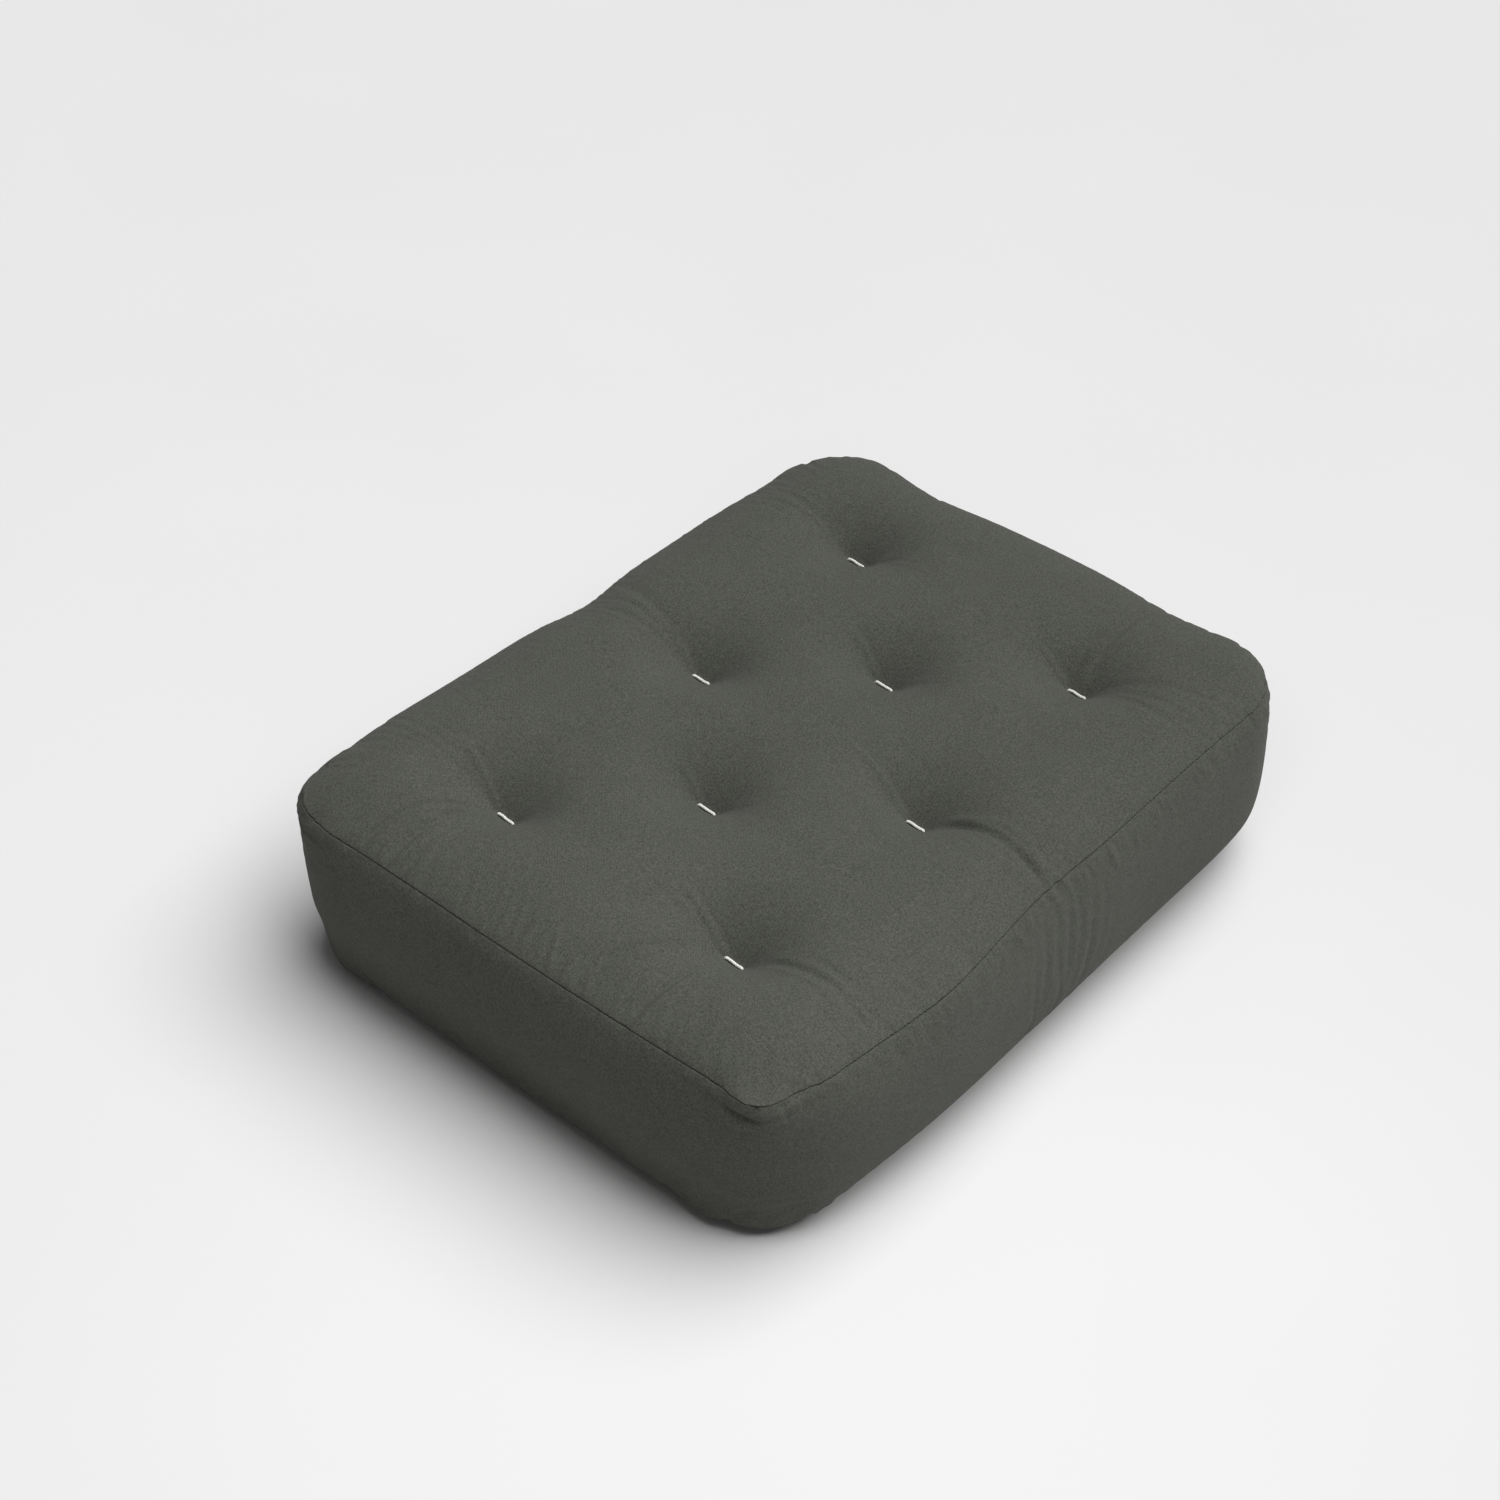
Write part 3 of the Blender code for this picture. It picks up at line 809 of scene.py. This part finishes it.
def twisted(path):
    """Twine: strands wound round a path, as one list of points and one of faces."""
    lengths = np.concatenate([[0], np.cumsum(np.linalg.norm(np.diff(path, axis=0), axis=1))])
    sides, others = square_to(path)
    points, faces = [], []
    for strand in range(STRAND_COUNT):
        angle = 2 * math.pi * (lengths / STRAND_TURN + strand / STRAND_COUNT)
        off = sides * np.cos(angle)[:, None] + others * np.sin(angle)[:, None]
        add_mesh(points, faces, tube(path + off * STRAND_RADIUS * 0.85, STRAND_RADIUS, 7))
    return points, faces


def tuft_twine(number, place, cover, material):
    """One tuft: a stitch across the top, two legs down through the filling, and a knot beneath."""
    x, y = place
    draw = np.random.default_rng(40 + number)
    half = STITCH / 2
    lean = draw.uniform(-0.0004, 0.0004)
    wave = draw.uniform(0.0002, 0.0006)
    low = TUFT_BOTTOM_Z - 0.0014      # just under the bottom cloth

    def lying(along, across, lift):
        spot = np.array([[x + half * along, y + across]])
        return (*spot[0], float(cover_heights(spot, cover, 0.4, -1)[0]) + lift)

    start, end = lying(-0.90, lean, 0.0), lying(0.90, -lean, 0.0)
    stitch = [(start[0], start[1], low), (start[0], start[1], 0.07), (start[0], start[1], start[2] - 0.008),
              (x - half * 0.97, start[1], start[2] - 0.0015), lying(-0.86, lean, TWINE_RADIUS * 0.8),
              lying(-0.40, wave, TWINE_RADIUS * 1.3), lying(0.10, -wave * 0.3, TWINE_RADIUS * 1.35),
              lying(0.55, -wave, TWINE_RADIUS * 1.2), lying(0.86, -lean, TWINE_RADIUS * 0.8),
              (x + half * 0.97, end[1], end[2] - 0.0015), (end[0], end[1], end[2] - 0.008),
              (end[0], end[1], 0.07), (end[0], end[1], low)]
    points, faces = twisted(smooth_path(stitch))
    knot = [(start[0], start[1], low + 0.002), (x - half * 0.80, y + lean, low - 0.0005)]
    for k in range(9):
        angle = 2 * math.pi * k / 4
        knot.append((x + 0.0022 * math.cos(angle) * (1 if k % 2 else 0.7), y + 0.0019 * math.sin(angle),
                     low - 0.0019 - 0.0005 * (k % 3)))
    knot += [(x + half * 0.80, y - lean, low - 0.0005), (end[0], end[1], low + 0.002)]
    more = [knot]
    for sign in (-1, 1):
        reach = draw.uniform(0.008, 0.014)
        more.append([(x + 0.0015 * sign, y, low - 0.002), (x + 0.003 * sign, y + 0.0035 * sign, low - 0.0032),
                     (x + 0.005 * sign, y + reach * sign, low - 0.0044),
                     (x + 0.008 * sign, y + 1.4 * reach * sign, low - 0.0055)])
    for path in more:
        add_mesh(points, faces, twisted(smooth_path(path)))
    piece = make_mesh(f"tuft_stitch_{number}", points, faces)
    put_on(piece, material, "tuft_twine", f"tuft_twine_{number}")


# ---- sewing thread
def seam_thread(name, ring, out, material, node):
    """Lock stitches through the turned-in seam allowances, halfway down them."""
    across = unit(np.array([0.0, 0.0, 1.0]) - out * out[:, 2:3])
    sway = np.where(np.arange(len(ring)) % 2, 1.0, -1.0)[:, None] * 0.0014
    path = ring - out * 0.0040 + across * sway
    points, faces = tube(np.vstack([path, path[:1]]), 0.0003, 5)
    piece = make_mesh(name, points, faces)
    put_on(piece, material, "seam_thread", node)


def closing_thread(cover, material):
    """The slanting hand stitches that close the border's end seam, at the middle of the back."""
    points, faces = [], []

    def on_cloth(x, z, deep):
        hit = cover.ray_cast(Vector((x, 1, z)), Vector((0, -1, 0)))[0]
        return (x, hit.y - deep, z)

    for z in np.arange(BOTTOM_SEAM_Z + 0.010, SEAM_Z - 0.010, 0.006):
        path = [on_cloth(-0.0022, z, 0.0025), on_cloth(-0.0018, z + 0.0005, -0.0001),
                on_cloth(0.0, z + 0.0012, -0.0003), on_cloth(0.0018, z + 0.0019, -0.0001),
                on_cloth(0.0022, z + 0.0024, 0.0025)]
        add_mesh(points, faces, tube(smooth_path(path, 0.0006), 0.00035, 6))
    piece = make_mesh("closing_stitches", points, faces)
    put_on(piece, material, "seam_thread", "closing_seam_thread")


# ---- filling
LAYER_LEVELS = ("lower_batting_1", "lower_batting_2",
                "foam_core_lower", "foam_core_middle", "foam_core_upper",
                "upper_batting_1", "upper_batting_2", "upper_batting_3")
FILL_CELL = 0.009
LAYER_GAP = 0.0006


def cover_heights(xy, cover, from_z, direction):
    """How high the cover stands at plan points, seen from above or below."""
    heights = np.full(len(xy), np.nan)
    for index, (x, y) in enumerate(xy):
        hit = cover.ray_cast(Vector((x, y, from_z)), Vector((0, 0, direction)))[0]
        if hit is not None:
            heights[index] = hit.z
    return heights


def fill_surfaces(xy, cover):
    """The heights of the nine surfaces between the layers, the lowest first, at plan points."""
    low, high = None, None
    for turn in range(-1, 8):
        reach = 0.0 if turn < 0 else FILL_CELL * 0.75
        near = xy + np.array([math.cos(turn * math.pi / 4), math.sin(turn * math.pi / 4)]) * reach
        top = cover_heights(near, cover, 0.4, -1)
        base = cover_heights(near, cover, -0.2, 1)
        high = top if high is None else np.fmin(high, top)
        low = base if low is None else np.fmax(low, base)
    low = low + CLOTH + 0.002
    high = high - CLOTH - 0.003
    return [low + (high - low) * level for level in np.linspace(0, 1, len(LAYER_LEVELS) + 1)]


def layer_piece(number, name, cover, material, slot):
    """One layer of the filling: a pad with rounded, slightly uneven edges that follows the tufts' pull."""
    draw = np.random.default_rng(70 + number)
    share = (number + 0.5) / len(LAYER_LEVELS)
    inset = 0.012 - 0.7 * float(border_swell(1 - share)) if share < 0.85 else 0.017
    half_w, half_l = HALF_W - inset, HALF_L - inset
    radius = CORNER_R - inset
    count = 4 * round((half_w + half_l) / FILL_CELL)
    ring = outline(half_w, half_l, radius, count)
    phase = draw.uniform(0, 6.28, 4)
    turn = np.linspace(0, 2 * math.pi, count, endpoint=False)
    uneven = sum(np.sin(turn * k + phase[j]) for j, k in enumerate((7, 13, 22, 31))) * 0.0005
    ring = ring + ring_outward(ring) * uneven[:, None]
    grid = grid_cells(half_w, half_l, FILL_CELL) * FILL_CELL
    grid = grid[depth_inside(grid, half_w, half_l, radius) > 0.7 * FILL_CELL]
    plan, faces = triangulated(np.vstack([ring, grid]), count)
    surfaces = fill_surfaces(plan, cover)
    low, high = surfaces[number] + LAYER_GAP / 2, surfaces[number + 1] - LAYER_GAP / 2
    size = len(plan)
    points = [np.column_stack([plan, low]), np.column_stack([plan, high])]
    all_faces = [[v for v in reversed(face)] for face in faces] + [[size + v for v in face] for face in faces]
    out = ring_outward(ring)
    rim_low, rim_high = low[:count], high[:count]
    levels = [list(range(count))]
    for step, (up, aside) in enumerate(((0.18, 0.0016), (0.5, 0.0023), (0.82, 0.0016))):
        levels.append(list(range(2 * size + step * count, 2 * size + (step + 1) * count)))
        side = ring + out * aside
        points.append(np.column_stack([side, rim_low + (rim_high - rim_low) * up]))
    levels.append([size + v for v in range(count)])
    for lower, upper in zip(levels, levels[1:]):
        all_faces += band(lower, upper)
    piece = make_mesh(f"{name}_pad", np.vstack(points), all_faces)
    put_on(piece, material, slot, name)


# ---- materials
def new_material(name, roughness, sheen=0.0, sheen_roughness=0.5, specular=0.3):
    """A new material, as its node tree, its shader and the place that its textures read."""
    material = bpy.data.materials.new(name)
    material.use_nodes = True
    tree = material.node_tree
    shader = tree.nodes["Principled BSDF"]
    shader.inputs["Roughness"].default_value = roughness
    shader.inputs["Sheen Weight"].default_value = sheen
    shader.inputs["Sheen Roughness"].default_value = sheen_roughness
    shader.inputs["Specular IOR Level"].default_value = specular
    return material, tree, shader, node(tree, "ShaderNodeTexCoord").outputs["Object"]


def node(tree, kind, **values):
    made = tree.nodes.new(kind)
    for key, value in values.items():
        setattr(made, key, value)
    return made


def textured(tree, kind, where, output, settings, **values):
    """One output of a texture node that reads where, with its sockets set."""
    made = node(tree, kind, **values)
    for key, value in settings.items():
        made.inputs[key].default_value = value
    tree.links.new(where, made.inputs["Vector"])
    return made.outputs[output]


def noise(tree, where, scale, detail_count=4.0, roughness=0.5):
    settings = {"Scale": scale, "Detail": detail_count, "Roughness": roughness}
    return textured(tree, "ShaderNodeTexNoise", where, "Fac", settings)


def mapped(tree, value, low, high, to_low=0.0, to_high=1.0):
    """A value turned from one range into another, and kept inside it."""
    made = node(tree, "ShaderNodeMapRange")
    tree.links.new(value, made.inputs["Value"])
    for key, number in (("From Min", low), ("From Max", high), ("To Min", to_low), ("To Max", to_high)):
        made.inputs[key].default_value = number
    return made.outputs["Result"]


def combine(tree, operation, a, b):
    made = node(tree, "ShaderNodeMath", operation=operation)
    for socket, value in zip(made.inputs, (a, b)):
        if isinstance(value, (int, float)):
            socket.default_value = value
        else:
            tree.links.new(value, socket)
    return made.outputs["Value"]


def weighted(tree, *parts):
    """The sum of some outputs, each times its own weight."""
    total = None
    for value, weight in parts:
        part = combine(tree, "MULTIPLY", value, weight)
        total = part if total is None else combine(tree, "ADD", total, part)
    return total


def blend_colours(tree, factor, first, second):
    made = node(tree, "ShaderNodeMix", data_type="RGBA")
    tree.links.new(factor, made.inputs["Factor"])
    for socket, colour in ((made.inputs[6], first), (made.inputs[7], second)):
        if isinstance(colour, tuple):
            socket.default_value = (*colour, 1)
        else:
            tree.links.new(colour, socket)
    return made.outputs[2]


def finished(tree, shader, colour, height=None, distance=0.0):
    """Gives the shader its colour and, with a height, its bump."""
    tree.links.new(colour, shader.inputs["Base Color"])
    if height is None:
        return
    made = node(tree, "ShaderNodeBump")
    made.inputs["Strength"].default_value = 1.0
    made.inputs["Distance"].default_value = distance
    tree.links.new(height, made.inputs["Height"])
    tree.links.new(made.outputs["Normal"], shader.inputs["Normal"])


TWILL_DARK, TWILL_LIGHT = (0.0330, 0.0345, 0.0290), (0.1170, 0.1215, 0.1035)
LINT = (0.42, 0.42, 0.40)


def twill_material():
    """Matte charcoal cotton twill: slanting ribs, crossed yarns, heathered colour, a little lint."""
    material, tree, shader, where = new_material("charcoal_twill", 0.93, 0.05, 0.6, 0.12)
    settings = {"Scale": 360, "Distortion": 1.2, "Detail": 1.5, "Detail Scale": 2.0}
    ribs = textured(tree, "ShaderNodeTexWave", where, "Fac", settings,
                    wave_type="BANDS", bands_direction="DIAGONAL")
    yarn = noise(tree, where, 2100, 2.0, 0.6)
    fleck = noise(tree, where, 580, 3.0, 0.65)
    mottle = noise(tree, where, 36, 4.0, 0.6)
    wear = noise(tree, where, 7.7, 3.0, 0.55)
    shade = mapped(tree, fleck, 0.25, 0.75, -0.8, 0.8)
    for part, low, high, amount in ((yarn, 0.25, 0.75, 0.35), (mottle, 0.3, 0.7, 0.06),
                                    (wear, 0.3, 0.7, 0.05), (ribs, 0, 1, 0.15)):
        shade = combine(tree, "ADD", shade, mapped(tree, part, low, high, -amount, amount))
    cloth = blend_colours(tree, mapped(tree, shade, -1.0, 1.0), TWILL_DARK, TWILL_LIGHT)
    specks = textured(tree, "ShaderNodeTexVoronoi", where, "Distance", {"Scale": 36, "Randomness": 1.0},
                      feature="F1")
    rare = noise(tree, where, 12.5, 2.0, 0.5)
    lint = combine(tree, "MULTIPLY", mapped(tree, specks, 0.0, 0.030, 1.0, 0.0),
                   mapped(tree, rare, 0.57, 0.60))
    relief = weighted(tree, (ribs, 0.5), (yarn, 0.5), (fleck, 0.6))
    finished(tree, shader, blend_colours(tree, lint, cloth, LINT), relief, 0.00028)
    return material


def twine_material():
    """Off-white cotton twine with fine fibres."""
    material, tree, shader, where = new_material("white_twine", 0.8, sheen=0.3, specular=0.25)
    fibres = noise(tree, where, 3600, 3.0, 0.6)
    colour = blend_colours(tree, mapped(tree, fibres, 0.3, 0.7),
                           (0.78, 0.77, 0.73), (0.93, 0.93, 0.90))
    finished(tree, shader, colour, fibres, 0.0003)
    return material


def thread_material():
    """Charcoal polyester sewing thread."""
    material, tree, shader, where = new_material("charcoal_thread", 0.55, sheen=0.1, specular=0.4)
    fibres = noise(tree, where, 3000, 2.0, 0.5)
    colour = blend_colours(tree, mapped(tree, fibres, 0.3, 0.7),
                           (0.030, 0.031, 0.029), (0.060, 0.061, 0.057))
    finished(tree, shader, colour, fibres, 0.0001)
    return material


def batting_material():
    """Carded cotton batting: cream, felted, with darker seed flecks."""
    material, tree, shader, where = new_material("cotton_batting", 0.98, sheen=0.35, specular=0.05)
    tufts = noise(tree, where, 70, 8.0, 0.7)
    fine = noise(tree, where, 900, 4.0, 0.7)
    felt = weighted(tree, (tufts, 0.6), (fine, 0.4))
    cream = blend_colours(tree, mapped(tree, felt, 0.35, 0.65), (0.60, 0.55, 0.45), (0.82, 0.78, 0.68))
    seeds = noise(tree, where, 240, 2.0, 0.4)
    colour = blend_colours(tree, mapped(tree, seeds, 0.72, 0.76, 0.0, 0.7), cream, (0.24, 0.17, 0.10))
    finished(tree, shader, colour, felt, 0.002)
    return material


def foam_material():
    """Pale open-cell foam, with painted shade in its pores."""
    material, tree, shader, where = new_material("cream_foam", 0.9, specular=0.1)
    cells = textured(tree, "ShaderNodeTexVoronoi", where, "Distance", {"Scale": 700}, feature="F1")
    ageing = noise(tree, where, 14, 4.0, 0.6)
    base = blend_colours(tree, mapped(tree, ageing, 0.3, 0.7), (0.80, 0.74, 0.52), (0.86, 0.82, 0.64))
    # the pits at the cells' centres are painted darker: painted shade in the foam's pores
    colour = blend_colours(tree, mapped(tree, cells, 0.0, 0.7, 0.35, 0.0), base, (0.45, 0.40, 0.26))
    finished(tree, shader, colour, cells, 0.0008)
    return material


def floor_material():
    """Plain pale studio floor."""
    material, tree, shader, where = new_material("studio_floor", 0.9, specular=0.1)
    tone = noise(tree, where, 3, 2.0, 0.4)
    colour = blend_colours(tree, mapped(tree, tone, 0.3, 0.7), (0.755, 0.755, 0.755), (0.765, 0.765, 0.765))
    finished(tree, shader, colour)
    return material


# ---- camera, light, floor
CAMERA_TURN = 0.6740          # radians round from looking along +Y
CAMERA_RISE = 0.7032          # radians that it looks down
CAMERA_ROLL = 0.0476
CAMERA_PLACE = (1.0961, -1.4418, 1.6835)
CAMERA_LENS = 67.40
FLOOR_REACH = 9
FLOOR_Z = -0.0006
LIGHT_AIM = Vector((0, 0, 0.08))
KEY_SPREAD = 60               # degrees across the key light, as seen from the mattress


def add_camera():
    data = bpy.data.cameras.new("camera")
    data.sensor_width = 36
    data.lens = CAMERA_LENS
    camera = new_object("camera", data)
    flat = math.cos(CAMERA_RISE)
    ahead = Vector((-math.sin(CAMERA_TURN) * flat, math.cos(CAMERA_TURN) * flat, -math.sin(CAMERA_RISE)))
    level = ahead.cross(Vector((0, 0, 1))).normalized()
    upright = level.cross(ahead)
    right = math.cos(CAMERA_ROLL) * level + math.sin(CAMERA_ROLL) * upright
    up = math.cos(CAMERA_ROLL) * upright - math.sin(CAMERA_ROLL) * level
    camera.matrix_world = Matrix.Translation(CAMERA_PLACE) @ Matrix((right, up, -ahead)).transposed().to_4x4()
    bpy.context.scene.camera = camera


def add_light(name, place, size, power):
    """A soft round light at place, turned towards the mattress."""
    data = bpy.data.lights.new(name, "AREA")
    data.shape = "DISK"
    data.size = size
    data.energy = power
    light = new_object(name, data)
    turn = (LIGHT_AIM - Vector(place)).to_track_quat("-Z", "Y")
    light.matrix_world = Matrix.Translation(place) @ turn.to_matrix().to_4x4()


def add_sun(name, place, strength):
    """A wide, even light from far off, on the side where place lies."""
    data = bpy.data.lights.new(name, "SUN")
    data.angle = math.radians(KEY_SPREAD)
    data.energy = strength
    light = new_object(name, data)
    light.matrix_world = Vector(place).to_track_quat("Z", "Y").to_matrix().to_4x4()


def add_studio():
    corners = [(x * FLOOR_REACH, y * FLOOR_REACH, FLOOR_Z) for x, y in ((-1, -1), (1, -1), (1, 1), (-1, 1))]
    floor = make_mesh("studio_floor", corners, [[0, 1, 2, 3]])
    floor.data.materials.append(floor_material())
    world = bpy.data.worlds.new("studio")
    world.use_nodes = True
    background = world.node_tree.nodes["Background"]
    background.inputs["Color"].default_value = (1.0, 1.0, 1.0, 1)
    background.inputs["Strength"].default_value = 0.12
    bpy.context.scene.world = world
    add_sun("key", (0.22, 0.33, 0.92), 3.2)
    add_light("fill", (0.45, -0.45, 1.0), 0.5, 1.8)
    bpy.context.scene.view_settings.view_transform = "Standard"


# ---- the mattress
def build():
    twill = twill_material()
    twine = twine_material()
    thread = thread_material()
    cut, held, regions, levels, size, bottom_start = sew_cover()
    settled = simulate_cover(cut, held, regions, size, bottom_start)
    fine, fine_regions = subdivided(settled, regions)
    every_face = [face for faces in fine_regions.values() for face in faces]
    normals = normals_of(fine, every_face)
    fine = fine + normals * detail(fine, fine_regions)[:, None]
    fine[:, 2] = np.maximum(fine[:, 2], 0.0)
    normals = normals_of(fine, every_face)

    first_top, first_bottom = levels[0][0], levels[-1][0]
    plan = (("top", "cover_top_cloth", "cover_top_panel", (first_top,)),
            ("border", "cover_border_cloth", "cover_border", (first_top, first_bottom)),
            ("bottom", "cover_bottom_cloth", "cover_bottom_panel", (first_bottom,)))
    for region, name, cad_node, rims in plan:
        piece = finish_cloth(name, fine, fine_regions[region], regions[region], rims, normals)
        put_on(piece, twill, "cover_cloth", cad_node)

    cover = BVHTree.FromPolygons(fine.tolist(), every_face)
    for number in range(TUFT_COUNT):
        tuft_twine(number + 1, TUFT_XY[number], cover, twine)
    for rim, name, cad_node in ((first_top, "top_seam_stitches", "top_seam_thread"),
                                (first_bottom, "bottom_seam_stitches", "bottom_seam_thread")):
        loop = edge_loops(fine_regions["border"], (rim,))[0]
        seam_thread(name, fine[loop], normals[loop], thread, cad_node)
    closing_thread(cover, thread)
    batting, foam = batting_material(), foam_material()
    for number, name in enumerate(LAYER_LEVELS):
        material, slot = (foam, "foam") if name.startswith("foam") else (batting, "cotton_batting")
        layer_piece(number, name, cover, material, slot)


add_camera()
add_studio()
build()
bpy.context.view_layer.update()
